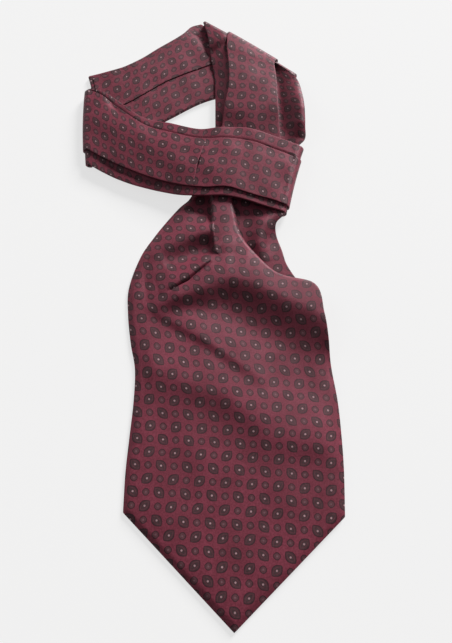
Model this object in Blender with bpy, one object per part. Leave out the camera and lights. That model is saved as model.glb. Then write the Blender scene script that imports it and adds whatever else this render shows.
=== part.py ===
# Silk cravat laid flat in one loop: the front blade, its pleats, and the folded neck band.
# Sizes are in millimetres on the table (X right, Y up the photograph, Z up) and become metres at the end.
import math

import bmesh
import bpy
import numpy as np
from mathutils import Vector

MM = 0.001
TABLE_ORIGIN = (-19.2, 33.0)

# Cloth walls, edge to edge of the layers in each stretch
BLADE_WALL = 1.8
BACK_WALL = 1.5
SIDE_WALL = 1.6
BAND_WALL = 2.0
REAR_WALL = 1.8
PANEL_WALL = 1.6
STACK_WALL = 3.0
FLAP_WALL = 1.3
GAP = 0.3

# Front blade: left edge x, y and right edge x, y, from the corners of the point up to the crossing
BLADE_ROWS = [
    (-70.0, -138.6, 80.7, -141.4),
    (-69.6, -112.0, 81.7, -112.0),
    (-68.0, -88.0, 81.4, -88.0),
    (-66.2, -62.0, 80.0, -62.0),
    (-66.3, -38.0, 76.8, -38.0),
    (-70.3, -18.0, 75.0, -17.0),
    (-73.4, 4.5, 72.2, 3.0),
    (-73.8, 26.0, 66.5, 25.5),
    (-66.0, 52.0, 39.5, 35.8),
    (-55.5, 70.0, 21.0, 54.5),
    (-46.0, 83.5, 11.0, 69.5),
    (-36.5, 95.5, 7.0, 86.0),
    (-29.0, 103.0, 4.6, 100.0),
    (-24.0, 114.0, 4.0, 113.0),
    (-20.0, 127.0, 4.0, 127.0),
]
BLADE_POINT_DEPTH = 72.9

# Back blade under it, a little narrower and shorter
BACK_ROWS = [
    (-60.0, -118.0, 71.5, -118.0),
    (-59.5, -88.0, 73.0, -88.0),
    (-57.8, -62.0, 72.0, -62.0),
    (-57.8, -38.0, 68.5, -38.0),
    (-61.5, -18.0, 65.0, -17.0),
    (-65.0, 4.5, 54.0, 6.0),
    (-65.0, 26.0, 24.0, 26.0),
    (-57.0, 46.0, 12.0, 44.0),
    (-46.0, 66.0, 5.0, 62.0),
    (-36.0, 80.0, 4.0, 78.0),
    (-27.0, 94.5, 4.0, 94.5),
]
BACK_POINT_DEPTH = 66.0

# Deeper layer of the right pleat: left edge, right hem, and the wall's middle height at each
SIDE_ROWS = [
    (42.0, 24.5, 1.1, 62.0, 26.5, 1.0),
    (31.0, 33.0, 1.3, 55.0, 32.5, 1.1),
    (20.0, 46.0, 1.9, 46.6, 46.0, 1.6),
    (10.0, 58.0, 2.6, 43.0, 58.0, 2.2),
    (3.0, 70.0, 3.2, 38.8, 71.0, 2.8),
    (-2.0, 82.0, 4.1, 39.0, 80.0, 3.8),
    (-3.0, 92.0, 4.7, 45.5, 88.0, 4.6),
    (-3.0, 102.0, 4.8, 39.0, 99.0, 4.7),
    (-3.0, 119.0, 4.8, 36.0, 117.0, 4.8),
]

# Soft folds: x, y, height, width on the left of the line, width on its right, going along it
PLEAT = [
    (24.0, 44.0, 0.6, 14.0, 20.0),
    (6.0, 61.0, 3.6, 9.0, 24.0),
    (0.0, 78.0, 4.6, 6.0, 26.0),
    (-2.0, 101.0, 5.2, 5.0, 30.0),
    (-2.0, 128.0, 5.2, 5.0, 30.0),
]
HILL = [
    (-46.0, 11.0, 0.8, 10.0, 6.0),
    (-36.0, 18.5, 2.6, 20.0, 8.0),
    (-18.0, 27.0, 4.2, 26.0, 11.0),
    (3.0, 37.0, 5.4, 30.0, 14.0),
    (24.0, 29.0, 5.2, 30.0, 13.0),
    (46.0, 20.0, 4.6, 30.0, 12.0),
    (65.0, 13.0, 3.8, 26.0, 11.0),
    (77.0, 3.0, 2.6, 22.0, 10.0),
]
LEFT_RIDGE = [
    (-50.0, 58.0, 0.6, 9.0, 8.0),
    (-42.0, 64.0, 1.6, 9.0, 8.0),
    (-28.0, 71.0, 2.6, 8.0, 8.0),
    (-17.0, 73.5, 3.0, 7.0, 8.0),
    (-10.0, 77.0, 2.2, 6.0, 7.0),
]
LEFT_TROUGH = [(-41.0, 53.0, -0.8, 6.0, 8.0), (-18.0, 61.0, -1.6, 6.0, 6.0), (-10.0, 66.0, -1.2, 5.0, 6.0)]
UPPER_LIP = [
    (-46.0, 24.0, 0.5, 9.0, 4.0),
    (-36.5, 31.0, 1.5, 10.0, 4.5),
    (-28.0, 36.5, 2.0, 11.0, 5.0),
    (-18.0, 45.0, 2.0, 11.0, 5.0),
    (-10.0, 52.0, 1.0, 10.0, 5.0),
]
CREASE = [(-44.0, 21.0, -0.6, 4.0, 4.0), (-28.0, 30.0, -2.2, 4.0, 4.0), (-13.0, 43.0, -0.9, 4.0, 4.0)]
THIN_CREASE = [
    (-62.0, 14.0, 0.3, 8.0, 4.0),
    (-49.0, 4.0, 1.2, 10.0, 4.0),
    (-29.0, -7.5, 1.7, 13.0, 4.0),
    (-9.0, -20.0, 1.8, 14.0, 4.0),
    (7.5, -32.0, 1.5, 14.0, 5.0),
    (23.0, -42.5, 0.8, 14.0, 5.0),
    (34.0, -49.0, 0.1, 12.0, 6.0),
]
LOW_FOLD = [
    (-67.0, -30.0, 0.6, 14.0, 8.0),
    (-47.0, -40.0, 1.4, 16.0, 9.0),
    (-27.0, -49.0, 1.9, 17.0, 9.0),
    (4.0, -58.5, 2.1, 18.0, 9.0),
    (21.0, -73.5, 2.1, 18.0, 9.0),
    (33.5, -87.0, 1.9, 18.0, 9.0),
    (55.0, -91.0, 1.4, 18.0, 10.0),
    (79.0, -96.0, 1.0, 18.0, 10.0),
]
BLADE_FOLDS = [PLEAT, HILL, LEFT_RIDGE, LEFT_TROUGH, UPPER_LIP, CREASE, THIN_CREASE, LOW_FOLD]
# Height of the deeper pleat layer's upper face by y, which the pleat's turned edge comes down to
UNDER_PLEAT = [(25.0, 1.8), (46.0, 2.6), (58.0, 3.3), (70.0, 3.9), (82.0, 4.8), (92.0, 5.4), (102.0, 5.5)]
TURNED_EDGE = 7.0
SIDE_FOLDS = [
    [
        (46.0, 90.0, 3.2, 8.0, 6.0),
        (36.0, 84.5, 3.4, 8.0, 6.0),
        (27.5, 77.0, 2.8, 8.0, 6.0),
        (25.0, 64.0, 1.9, 7.0, 6.0),
        (29.0, 48.0, 0.7, 6.0, 7.0),
    ],
]

# Neck band stretches: edge, middle and edge points of the wall's middle surface (x, y, z)
SIDE_BAND = [
    (-106.8, 224.8, 1.5, -107.3, 184.0, 1.5, -104.6, 141.5, 1.5),
    (-93.0, 230.6, 1.5, -90.0, 191.5, 1.5, -88.0, 154.5, 1.5),
    (-77.5, 238.6, 1.5, -72.5, 202.5, 1.5, -67.0, 168.5, 1.5),
    (-58.0, 253.0, 1.5, -51.0, 217.5, 1.5, -43.5, 183.5, 1.5),
    (-39.0, 266.8, 1.5, -25.0, 230.0, 1.5, -15.5, 199.3, 1.5),
    (-30.5, 274.0, 1.5, 2.0, 241.0, 1.5, 26.0, 210.0, 1.5),
    (-22.6, 275.4, 1.5, 18.2, 247.2, 1.5, 57.0, 218.3, 1.5),
]
REAR_FOLD = (-19.6, 276.4, 7.2, 19.6, 248.9, 7.6, 58.4, 220.0, 7.2)
REAR_BAND = [
    REAR_FOLD,
    (-15.5, 262.0, 7.4, 23.0, 236.0, 6.8, 61.6, 210.0, 6.4),
    (-12.8, 242.0, 7.0, 26.0, 218.0, 5.4, 63.3, 197.0, 6.0),
    (-9.3, 220.0, 6.6, 28.0, 200.0, 4.6, 64.5, 184.0, 5.6),
    (-8.5, 197.0, 5.8, 28.5, 181.0, 4.2, 64.8, 169.0, 5.0),
    (-8.3, 174.0, 4.9, 27.5, 163.0, 4.3, 64.0, 156.5, 4.8),
    (-8.0, 152.0, 4.6, 22.0, 148.5, 4.6, 51.0, 145.0, 4.6),
    (-8.0, 130.0, 4.6, 16.0, 130.0, 4.6, 40.0, 130.0, 4.6),
]
REAR_PANEL = [
    (1.0, 247.5, 10.6, 21.0, 239.5, 11.8, 41.0, 229.5, 10.4),
    (2.6, 227.0, 11.2, 22.5, 222.0, 12.8, 42.3, 215.0, 11.0),
    (2.6, 207.0, 11.2, 22.5, 204.0, 13.0, 42.8, 199.0, 11.2),
    (-0.5, 188.5, 10.4, 21.5, 187.0, 12.0, 43.0, 184.0, 10.6),
    (-2.4, 174.0, 8.6, 20.5, 172.5, 9.4, 43.6, 170.0, 8.8),
    (-3.2, 163.0, 7.5, 20.0, 161.0, 7.7, 44.5, 157.0, 7.6),
    (-3.5, 150.0, 7.1, 19.0, 149.0, 7.2, 43.0, 147.0, 7.2),
    (-3.5, 134.0, 6.9, 17.0, 134.0, 6.9, 37.0, 134.0, 6.9),
]
LEFT_FOLD = (-114.6, 219.4, 6.8, -115.0, 179.0, 6.8, -112.0, 134.2, 5.4)
RIGHT_FOLD = (58.9, 148.2, 9.6, 50.0, 119.5, 9.8, 43.2, 89.3, 9.6)
FRONT_BAND = [
    LEFT_FOLD,
    (-105.0, 209.0, 7.0, -102.0, 168.0, 7.4, -99.5, 126.4, 5.0),
    (-90.0, 193.0, 7.4, -84.5, 155.0, 8.2, -79.5, 116.6, 5.2),
    (-70.0, 176.0, 8.4, -62.0, 142.0, 9.2, -55.0, 108.6, 6.4),
    (-45.0, 168.8, 9.4, -38.5, 136.4, 10.6, -33.5, 103.4, 9.0),
    (-22.0, 162.8, 10.4, -18.5, 133.0, 11.7, -16.0, 102.0, 11.2),
    (0.0, 164.3, 10.8, 0.5, 133.5, 12.2, 1.0, 101.3, 12.0),
    (20.0, 163.0, 10.8, 19.0, 130.5, 11.4, 18.0, 97.3, 11.4),
    (42.0, 155.0, 10.3, 37.5, 123.5, 10.4, 34.0, 92.0, 10.2),
    RIGHT_FOLD,
]
# Where the top pleat of the front band lies across it, as shares of the band's width at each row
FRONT_PANEL_SHARE = [
    (0.20, 0.865),
    (0.135, 0.85),
    (0.114, 0.84),
    (0.112, 0.852),
    (0.155, 0.878),
    (0.16, 0.896),
    (0.18, 0.894),
    (0.19, 0.916),
    (0.19, 0.90),
    (0.20, 0.91),
]
# The slanting join runs across the front band, at these rows of its table (upper edge, lower edge)
JOIN_ROW = (5.22, 4.44)
UNDER_BAND = [
    (32.0, 152.0, 1.5, 26.0, 124.0, 1.5, 22.0, 98.0, 1.5),
    (8.0, 156.5, 1.5, 7.0, 129.0, 1.5, 6.0, 102.0, 1.5),
    (-7.5, 157.5, 1.5, -7.5, 131.0, 1.5, -7.5, 105.0, 1.5),
]


def smooth(t):
    t = np.clip(t, 0.0, 1.0)
    return t * t * (3.0 - 2.0 * t)


def curve(rows, at):
    """Catmull-Rom value of a table at fractional row numbers."""
    rows = np.array(rows, float)
    at = np.clip(np.asarray(at, float), 0.0, len(rows) - 1.0)
    i = np.minimum(np.floor(at).astype(int), len(rows) - 2)
    f = (at - i)[..., None]
    padded = np.vstack([2 * rows[0] - rows[1], rows, 2 * rows[-1] - rows[-2]])
    a, b, c, d = padded[i], padded[i + 1], padded[i + 2], padded[i + 3]
    return 0.5 * (2 * b + (c - a) * f + (2 * a - 5 * b + 4 * c - d) * f**2 + (3 * b - a - 3 * c + d) * f**3)


def even_rows(rows, step):
    """Fractional row numbers spaced about evenly along the middle of a table of edge pairs."""
    fine = np.linspace(0.0, len(rows) - 1.0, 40 * len(rows))
    line = curve(rows, fine)
    half = line.shape[1] // 2
    middle = 0.5 * (line[:, :2] + line[:, half:half + 2]) if half != 4 else 0.5 * (line[:, :2] + line[:, 6:8])
    run = np.concatenate([[0.0], np.cumsum(np.linalg.norm(np.diff(middle, axis=0), axis=1))])
    count = max(3, int(round(run[-1] / step)) + 1)
    return np.interp(np.linspace(0.0, run[-1], count), run, fine)


def fold_height(x, y, folds):
    """Sum of soft ridges and troughs, each along its own line."""
    total = np.zeros_like(x)
    for fold in folds:
        table = np.array(fold, float)
        nearest = np.full(x.shape, 1e9)
        value = np.zeros_like(x)
        for a, b in zip(table[:-1], table[1:]):
            dx, dy = b[0] - a[0], b[1] - a[1]
            t = np.clip(((x - a[0]) * dx + (y - a[1]) * dy) / (dx * dx + dy * dy), 0.0, 1.0)
            off_x = x - a[0] - t * dx
            off_y = y - a[1] - t * dy
            reach = np.hypot(off_x, off_y)
            right = off_x * dy - off_y * dx > 0.0
            height = a[2] + (b[2] - a[2]) * t
            width = np.where(right, a[4] + (b[4] - a[4]) * t, a[3] + (b[3] - a[3]) * t)
            here = height * np.exp(-(reach / width) ** 2)
            value = np.where(reach < nearest, here, value)
            nearest = np.minimum(reach, nearest)
        total += value
    return total


def edge_reach(x, y, line):
    """Distance from each point to a line of points."""
    nearest = np.full(x.shape, 1e9)
    for a, b in zip(line[:-1], line[1:]):
        d = b - a
        t = np.clip(((x - a[0]) * d[0] + (y - a[1]) * d[1]) / max(d @ d, 1e-9), 0.0, 1.0)
        nearest = np.minimum(nearest, np.hypot(x - a[0] - t * d[0], y - a[1] - t * d[1]))
    return nearest


def blade_grid(rows, depth, step_along, across):
    """Points of a blade: straight rows above, bent to the point below."""
    at = even_rows(rows, step_along)
    line = curve(rows, at)
    v = np.linspace(0.0, 1.0, across)
    x = line[:, None, 0] * (1 - v) + line[:, None, 2] * v
    y = line[:, None, 1] * (1 - v) + line[:, None, 3] * v
    share = np.clip(1.0 - (line[:, 1] - line[0, 1]) / 150.0, 0.0, 1.0) ** 1.5
    y = y - depth * share[:, None] * (1.0 - np.abs(2.0 * v - 1.0))
    return x, y, line


def blade_top(x, y, line):
    """Height of the front blade's upper face."""
    point = np.array([0.5 * (line[0, 0] + line[0, 2]), 0.5 * (line[0, 1] + line[0, 3]) - BLADE_POINT_DEPTH])
    left = line[:, :2]
    right = line[line[:, 3] < 20.0][:, 2:]
    rim = edge_reach(x, y, np.vstack([left[::-1], point, right]))
    floor = 1.9 + 1.75 * smooth(rim / 7.5)
    lift = 0.5 * smooth(rim / 12.0) + smooth((y - 20.0) / 60.0) * smooth(rim / 14.0) * 0.8
    lift = lift + smooth(rim / 14.0) * fold_height(x, y, BLADE_FOLDS)
    top = floor + 0.5 * (lift + np.sqrt(lift**2 + 0.09))
    turned = line[line[:, 3] > 24.0][:, 2:]
    share = np.clip(edge_reach(x, y, turned) / TURNED_EDGE, 0.0, 1.0)
    heights = np.array(UNDER_PLEAT)
    low = np.interp(y, heights[:, 0], heights[:, 1]) + BLADE_WALL + 1.2
    return np.where(top > low, low + (top - low) * np.sqrt(1.0 - (1.0 - share) ** 2), top)


def add_object(name, vertices, faces):
    mesh = bpy.data.meshes.new(name)
    mesh.from_pydata([tuple(p) for p in vertices], [], faces)
    body = bmesh.new()
    body.from_mesh(mesh)
    bmesh.ops.recalc_face_normals(body, faces=body.faces)
    if body.calc_volume(signed=True) < 0.0:
        bmesh.ops.reverse_faces(body, faces=body.faces)
    body.to_mesh(mesh)
    body.free()
    mesh.materials.append(SILK)
    mesh.shade_smooth()
    item = bpy.data.objects.new(name, mesh)
    CLOTH.objects.link(item)
    return item


def shell(name, middle, normal, thick):
    """Closed rounded-edge cloth on a grid of middle points (rows, across, xyz), thickness per row."""
    rows, across, _ = middle.shape
    thick = np.broadcast_to(np.asarray(thick, float), (rows,))
    start = middle[0] - middle[1]
    end = middle[-1] - middle[-2]
    start /= np.linalg.norm(start, axis=1)[:, None]
    end /= np.linalg.norm(end, axis=1)[:, None]
    grids = [middle[0] + start * thick[0] * 0.3]
    grids += [middle[i] for i in range(rows)]
    grids += [middle[-1] + end * thick[-1] * 0.3]
    normals = [normal[0]] + [normal[i] for i in range(rows)] + [normal[-1]]
    walls = [thick[0] * 0.5] + list(thick) + [thick[-1] * 0.5]
    points = []
    for line, up, wall in zip(grids, normals, walls):
        left = line[0] - line[1]
        right = line[-1] - line[-2]
        left /= np.linalg.norm(left)
        right /= np.linalg.norm(right)
        ring = [p + n * wall / 2 for p, n in zip(line, up)]
        for angle in (45.0, 90.0, 135.0):
            c, s = math.cos(math.radians(angle)), math.sin(math.radians(angle))
            ring.append(line[-1] + up[-1] * wall / 2 * c + right * wall / 2 * s)
        ring += [p - n * wall / 2 for p, n in zip(line[::-1], up[::-1])]
        for angle in (135.0, 90.0, 45.0):
            c, s = math.cos(math.radians(angle)), math.sin(math.radians(angle))
            ring.append(line[0] + up[0] * wall / 2 * c + left * wall / 2 * s)
        points += ring
    size = 2 * across + 6
    faces = []
    for i in range(len(grids) - 1):
        for j in range(size):
            k = (j + 1) % size
            faces.append((i * size + j, i * size + k, (i + 1) * size + k, (i + 1) * size + j))
    for base in (0, (len(grids) - 1) * size):
        other = [2 * across + 2 - j for j in range(across)]
        for j in range(across - 1):
            faces.append((base + j, base + j + 1, base + other[j + 1], base + other[j]))
        right_cap = [across - 1 + j for j in range(5)]
        left_cap = [2 * across + 2 + j for j in range(4)] + [0]
        faces.append(tuple(base + j for j in right_cap))
        faces.append(tuple(base + j for j in left_cap))
    shifted = np.array(points)
    shifted[:, 0] -= TABLE_ORIGIN[0]
    shifted[:, 1] -= TABLE_ORIGIN[1]
    return add_object(name, shifted * MM, faces)


def across_line(row, v):
    """Three points of a row joined by a parabola."""
    a, m, b = np.asarray(row[..., 0:3]), np.asarray(row[..., 3:6]), np.asarray(row[..., 6:9])
    v = np.asarray(v)[..., None]
    return a * (2 * v - 1) * (v - 1) + m * 4 * v * (1 - v) + b * v * (2 * v - 1)


def band_points(rows, at, shares):
    """Middle points of a band at fractional rows and shares across it."""
    line = curve(rows, at)
    return np.stack([across_line(np.broadcast_to(r, (len(s), 9)), s) for r, s in zip(line, shares)])


def fold_points(fold, low, out, angles, shares, extra):
    """Points round a fold from the layer below (0 degrees) to the layer above (180 degrees)."""
    fold = np.array(fold, float)
    lines, normals = [], []
    for angle, share in zip(angles, shares):
        line = across_line(np.broadcast_to(fold, (len(share), 9)), share)
        top = line[:, 2]
        centre = (top + low) / 2
        radius = (top - low) / 2 + extra
        c, s = math.cos(math.radians(angle)), math.sin(math.radians(angle))
        moved = line.copy()
        moved[:, 0] += out[0] * radius * s
        moved[:, 1] += out[1] * radius * s
        moved[:, 2] = centre - radius * c
        lines.append(moved)
        normals.append(np.tile(np.array([out[0] * s, out[1] * s, -c]), (len(share), 1)))
    return np.stack(lines), np.stack(normals)


def surface_normals(grid, towards):
    """Unit normals of a grid, on the side of a given vector."""
    along = np.gradient(grid, axis=0)
    across = np.gradient(grid, axis=1)
    normal = np.cross(along, across)
    normal /= np.linalg.norm(normal, axis=2)[..., None]
    sign = np.sign((normal * np.asarray(towards)).sum(axis=2))[..., None]
    return normal * sign


def unit(vector):
    return np.asarray(vector, float) / np.linalg.norm(vector)


def fold_out(fold, inside):
    """Level direction square to a fold line, away from an inside point."""
    line = np.array([fold[6] - fold[0], fold[7] - fold[1]])
    square = unit((line[1], -line[0]))
    away = np.array([fold[0] - inside[0], fold[1] - inside[1]])
    return square if square @ away > 0 else -square


def build_back_blade():
    x, y, _ = blade_grid(BACK_ROWS, BACK_POINT_DEPTH, 12.0, 9)
    grid = np.dstack([x, y, np.full(x.shape, BACK_WALL / 2)])
    return shell("back_blade", grid, np.broadcast_to([0.0, 0.0, 1.0], grid.shape), BACK_WALL)


def build_front_blade():
    x, y, line = blade_grid(BLADE_ROWS, BLADE_POINT_DEPTH, 6.2, 29)
    z = blade_top(x, y, line) - BLADE_WALL / 2
    grid = np.dstack([x, y, z])
    return shell("front_blade", grid, surface_normals(grid, (0, 0, 1)), BLADE_WALL)


def build_side_pleat():
    at = even_rows(SIDE_ROWS, 6.0)
    line = curve(SIDE_ROWS, at)
    v = np.linspace(0.0, 1.0, 11)
    grid = np.stack([line[:, None, k] * (1 - v) + line[:, None, k + 3] * v for k in range(3)], axis=2)
    grid[..., 2] += fold_height(grid[..., 0], grid[..., 1], SIDE_FOLDS)
    return shell("front_blade_side_pleat", grid, surface_normals(grid, (0, 0, 1)), SIDE_WALL)


def build_side_band():
    at = even_rows(SIDE_BAND, 9.0)
    grid = band_points(SIDE_BAND, at, [np.linspace(0.0, 1.0, 10)] * len(at))
    body = shell("neck_side", grid, np.broadcast_to([0.0, 0.0, 1.0], grid.shape), STACK_WALL)
    at = np.linspace(0.1, 5.35, 15)
    grid = band_points(SIDE_BAND, at, [np.linspace(0.045, 0.50, 6)] * len(at))
    grid[..., 2] = STACK_WALL + GAP + FLAP_WALL / 2
    shell("neck_side_flap", grid, np.broadcast_to([0.0, 0.0, 1.0], grid.shape), FLAP_WALL)
    return body


def build_rear():
    out = fold_out(REAR_FOLD, (0.0, 150.0))
    shares = np.linspace(0.0, 1.0, 13)
    angles = (0.0, 22.0, 45.0, 68.0, 90.0, 112.0, 135.0, 158.0)
    turn, turn_up = fold_points(REAR_FOLD, 1.5, out, angles, [shares] * len(angles), 0.0)
    at = even_rows(REAR_BAND, 8.0)
    flat = band_points(REAR_BAND, at, [shares] * len(at))
    grid = np.concatenate([turn, flat])
    up = np.concatenate([turn_up, surface_normals(flat, (0, 0, 1))])
    wall = [STACK_WALL, 2.7, 2.4, 2.1] + [REAR_WALL] * (len(grid) - 4)
    shell("neck_rear", grid, up, wall)

    ride = REAR_WALL / 2 + GAP + PANEL_WALL / 2
    shares = np.linspace(0.262, 0.782, 9)
    angles = (62.0, 80.0, 98.0, 116.0, 134.0, 152.0, 170.0)
    turn, turn_up = fold_points(REAR_FOLD, 1.5, out, angles, [shares] * len(angles), ride)
    at = even_rows(REAR_PANEL, 8.0)
    flat = band_points(REAR_PANEL, at, [np.linspace(0.0, 1.0, 9)] * len(at))
    grid = np.concatenate([turn, flat])
    up = np.concatenate([turn_up, surface_normals(flat, (0, 0, 1))])
    shell("neck_rear_pleat", grid, up, PANEL_WALL)


def front_rows(first, last, count, shares_of):
    """Fractional rows whose ends slant along the join, one value for each share across."""
    lines = []
    for t in np.linspace(0.0, 1.0, count):
        lines.append([first(s) + (last(s) - first(s)) * t for s in shares_of])
    return np.array(lines)


def join_at(share):
    return JOIN_ROW[0] + (JOIN_ROW[1] - JOIN_ROW[0]) * share


def front_grid(first, last, count, columns, panel):
    """Points of the front band or its top pleat between two slanting row lines."""
    base = np.linspace(0.0, 1.0, columns)
    at = front_rows(first, last, count, base)
    grid = np.zeros((count, columns, 3))
    for i in range(count):
        for j in range(columns):
            low, high = curve(FRONT_PANEL_SHARE, at[i, j]) if panel else (0.0, 1.0)
            share = low + (high - low) * base[j]
            grid[i, j] = across_line(curve(FRONT_BAND, at[i, j]), share)
    return grid


def build_front():
    last_row = len(FRONT_BAND) - 1.0
    left_out = fold_out(LEFT_FOLD, (0.0, 150.0))
    right_out = fold_out(RIGHT_FOLD, (0.0, 100.0))
    ride = BAND_WALL / 2 + GAP + PANEL_WALL / 2
    shares = np.linspace(0.0, 1.0, 11)
    gap_row = 0.04

    angles = (0.0, 25.0, 50.0, 75.0, 100.0, 125.0, 150.0)
    turn, turn_up = fold_points(LEFT_FOLD, 1.5, left_out, angles, [shares] * len(angles), 0.0)
    start = turn[:1] + np.array([5.5, 0.0, 0.0])
    flat = front_grid(lambda s: 0.0, lambda s: join_at(s) - gap_row, 14, 11, False)
    grid = np.concatenate([start, turn, flat])
    up = np.concatenate([turn_up[:1], turn_up, surface_normals(flat, (0, 0, 1))])
    wall = [STACK_WALL, STACK_WALL, 2.6, 2.2] + [BAND_WALL] * (len(grid) - 4)
    shell("neck_front_left", grid, up, wall)

    flat = front_grid(lambda s: join_at(s) + gap_row, lambda s: last_row, 12, 11, False)
    turn, turn_up = fold_points(RIGHT_FOLD, 1.5, right_out, angles[::-1], [shares] * len(angles), 0.0)
    grid = np.concatenate([flat, turn])
    up = np.concatenate([surface_normals(flat, (0, 0, 1)), turn_up])
    wall = [BAND_WALL] * (len(grid) - 3) + [2.2, 2.6, STACK_WALL]
    shell("neck_front_right", grid, up, wall)

    shares = np.linspace(FRONT_PANEL_SHARE[0][0], FRONT_PANEL_SHARE[0][1], 9)
    angles = (60.0, 80.0, 100.0, 120.0, 140.0, 160.0)
    turn, turn_up = fold_points(LEFT_FOLD, 1.5, left_out, angles, [shares] * len(angles), ride)
    flat = front_grid(lambda s: 0.0, lambda s: join_at(s) - gap_row, 14, 9, True)
    flat_up = surface_normals(flat, (0, 0, 1))
    grid = np.concatenate([turn, flat + flat_up * ride])
    shell("neck_pleat_left", grid, np.concatenate([turn_up, flat_up]), PANEL_WALL)

    shares = np.linspace(FRONT_PANEL_SHARE[-1][0], FRONT_PANEL_SHARE[-1][1], 9)
    turn, turn_up = fold_points(RIGHT_FOLD, 1.5, right_out, angles[::-1], [shares] * len(angles), ride)
    flat = front_grid(lambda s: join_at(s) + gap_row, lambda s: last_row, 12, 9, True)
    flat_up = surface_normals(flat, (0, 0, 1))
    grid = np.concatenate([flat + flat_up * ride, turn])
    shell("neck_pleat_right", grid, np.concatenate([flat_up, turn_up]), PANEL_WALL)


def build_under():
    fold = np.array(RIGHT_FOLD)
    out = fold_out(RIGHT_FOLD, (0.0, 100.0))
    first = fold.copy()
    first[[0, 3, 6]] -= out[0] * 2.2
    first[[1, 4, 7]] -= out[1] * 2.2
    first[[2, 5, 8]] = 1.5
    rows = [tuple(first)] + UNDER_BAND
    at = even_rows(rows, 9.0)
    grid = band_points(rows, at, [np.linspace(0.0, 1.0, 9)] * len(at))
    shell("neck_under", grid, np.broadcast_to([0.0, 0.0, 1.0], grid.shape), STACK_WALL)


for item in list(bpy.data.objects):
    bpy.data.objects.remove(item, do_unlink=True)

CLOTH = bpy.data.collections.new("cravat")
bpy.context.scene.collection.children.link(CLOTH)

SILK = bpy.data.materials.new("printed_silk")
SILK.use_nodes = True
SHADER = SILK.node_tree.nodes["Principled BSDF"]
SHADER.inputs["Base Color"].default_value = (0.165, 0.030, 0.055, 1.0)
SHADER.inputs["Roughness"].default_value = 0.55
SHADER.inputs["Sheen Weight"].default_value = 0.3

build_back_blade()
build_front_blade()
build_side_pleat()
build_side_band()
build_rear()
build_front()
build_under()
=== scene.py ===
# Silk cravat laid flat in one loop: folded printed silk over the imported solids.
# Tables are in millimetres on the table (X right, Y up the cravat, Z up) and become metres at the end.
# A stretch of the neck band has a wide layer and, over it, a narrower top pleat, called its panel.
import math

import bmesh
import bpy
import numpy as np
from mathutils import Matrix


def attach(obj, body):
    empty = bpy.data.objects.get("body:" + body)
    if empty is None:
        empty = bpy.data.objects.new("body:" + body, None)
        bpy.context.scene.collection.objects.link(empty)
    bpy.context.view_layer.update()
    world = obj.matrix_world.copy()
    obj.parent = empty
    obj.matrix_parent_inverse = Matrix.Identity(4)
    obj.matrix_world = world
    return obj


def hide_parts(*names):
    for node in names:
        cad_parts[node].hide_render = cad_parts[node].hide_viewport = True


MM = 0.001
# The point of the tables that becomes the origin, under the middle of the outline
TABLE_ORIGIN = (-19.2, 33.0)

# Cloth walls: a folded double silk, and the thicker stacks below it
BLADE_WALL = 1.3
BACK_WALL = 1.5
SIDE_WALL = 1.3
BAND_WALL = 1.5
REAR_WALL = 1.4
REAR_PANEL_WALL = 1.2
FRONT_PANEL_WALL = 0.9
FLAP_WALL = 0.6
STACK_WALL = 3.0
# Middle height of the lowest stack, which the turns rise from, and the rows over which its wall thins out
LOW_MIDDLE = STACK_WALL / 2
THICK_ROWS = 12
# Gap between the front band and its panel
LAYER_GAP = 0.15

# Degrees round a folded end, and round the side of each layer
END_ANGLES = (75.0, 50.0, 25.0)
LOBE_ANGLES = (25.0, 60.0, 90.0, 120.0, 155.0)

# Grid of each piece: step along it and columns across it
GRIDS = {
    "back blade": (3.0, 41),
    "front blade": (1.45, 151),
    "side pleat": (1.2, 46),
    "side": (1.6, 52),
    "rear": (1.6, 60),
    "rear panel": (1.6, 44),
    "under": (2.5, 30),
}
# The front blade's rows lie half as far apart between these two y
FINE_ROWS_Y = (4.0, 58.0)
# Points read from a table's curve for each of its rows, and rows from one point of an edge line to the next
CURVE_POINTS = 60
EDGE_STEP = 4
TURNED_STEP = 3
# Farther than any point of the cravat
FAR = 1e9
# Degrees round each turn of the band: first, last and how many
TURNS = {
    "rear": (0.0, 172.0, 20),
    "rear panel": (62.0, 174.0, 14),
    "front": (0.0, 170.0, 18),
    "front panel": (60.0, 170.0, 14),
}
# Rows of points along each half of the front band, and columns across the band and across its panel
HALF_ROWS = {"left": 76, "right": 56}
FRONT_COLUMNS = 56
PANEL_COLUMNS = 46

# How far up a blade its rows bend towards the point, and how the bend eases out
POINT_REACH = 150.0
POINT_EASE = 1.5

# Front blade's upper face: height at the edge, and rise over the layer below
EDGE_TOP = 1.45
LAYER_RISE = 1.6
# The cloth's own fullness: at its edge, more of it inside, and more again in the gathers
FULLNESS = 0.6
HELD_FULLNESS = 0.5
GATHER_FULLNESS = 0.8
# How softly a trough comes down to the layer below
SOFTENING = 0.09
# Distance from the edge over which the wall, the strokes and the ripples reach their full height
RIM_WALL = 4.0
RIM_STROKES = 14.0
RIM_RIPPLES = 16.0
# Zones, in x or y, where a share grows from 0 to 1: start and length, which is negative where it falls.
# The right side's edge stands off the table in the carried zone, and by a smaller share further down.
CARRIED_X = (20.0, 30.0)
CARRIED_Y = (-45.0, 30.0)
LEVEL_X = (10.0, 40.0)
LEVEL_SHARE = 0.45
GATHER_Y = (20.0, 60.0)
TURNED_Y = (26.0, 12.0)
# The right edge is turned over the deeper pleat layer from this y on, over this distance and with this gap
TURNED_FROM = 25.0
TURNED_EDGE = 2.6
TURNED_GAP = 0.9
# Distance over which the strokes beside the pleat stop at its left edge
PLEAT_SIDE = 1.6

# Unevenness: waves added up, and the range of their lengths over the size asked for
WAVES = 9
WAVE_RANGE = (0.7, 1.7)
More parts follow.
